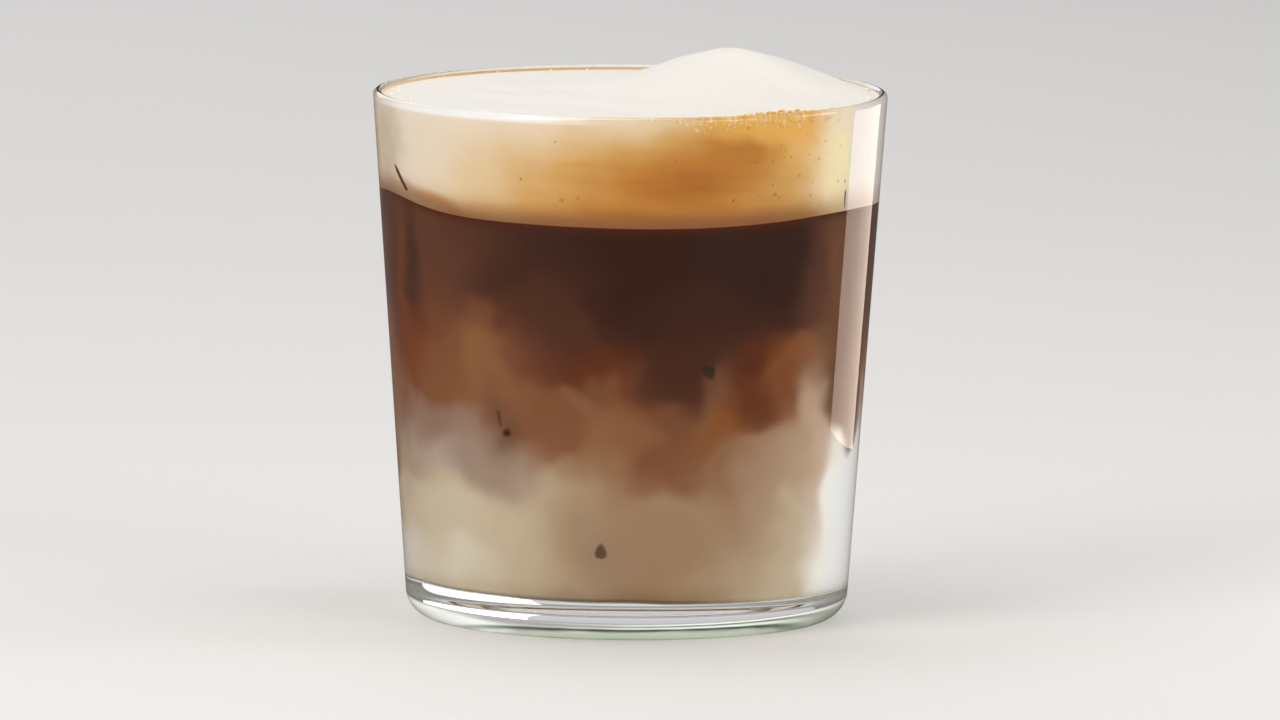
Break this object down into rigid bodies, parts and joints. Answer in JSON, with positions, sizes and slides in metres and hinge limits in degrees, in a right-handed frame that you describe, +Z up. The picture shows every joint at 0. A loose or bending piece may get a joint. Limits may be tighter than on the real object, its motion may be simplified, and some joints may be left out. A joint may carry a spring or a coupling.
{
  "type": "latte",
  "caption": "Iced layered latte in a tapered clear tumbler: creamy milk below, a marbled blend, dark coffee, and thick foam with a soft peak above the rim.",
  "frame": {"origin": "centre of the glass's foot, on the surface that it stands on", "axes": "+Z up along the glass's axis, -Y towards the side that the picture shows, +X to its right"},
  "size_m": [0.086, 0.086, 0.0942],
  "materials": {
    "glass": "clear, polished, very thin rounded rim, thick base",
    "milk": "opaque creamy liquid",
    "blend": "marbled milky coffee",
    "coffee": "dark coffee, nearly opaque",
    "foam": "fine dense foam, stained amber at the side"
  },
  "bodies": {
    "root": {"glass": "glass", "milk": "milk", "blend": "blend", "coffee": "coffee", "foam": "foam"}
  },
  "joints": []
}
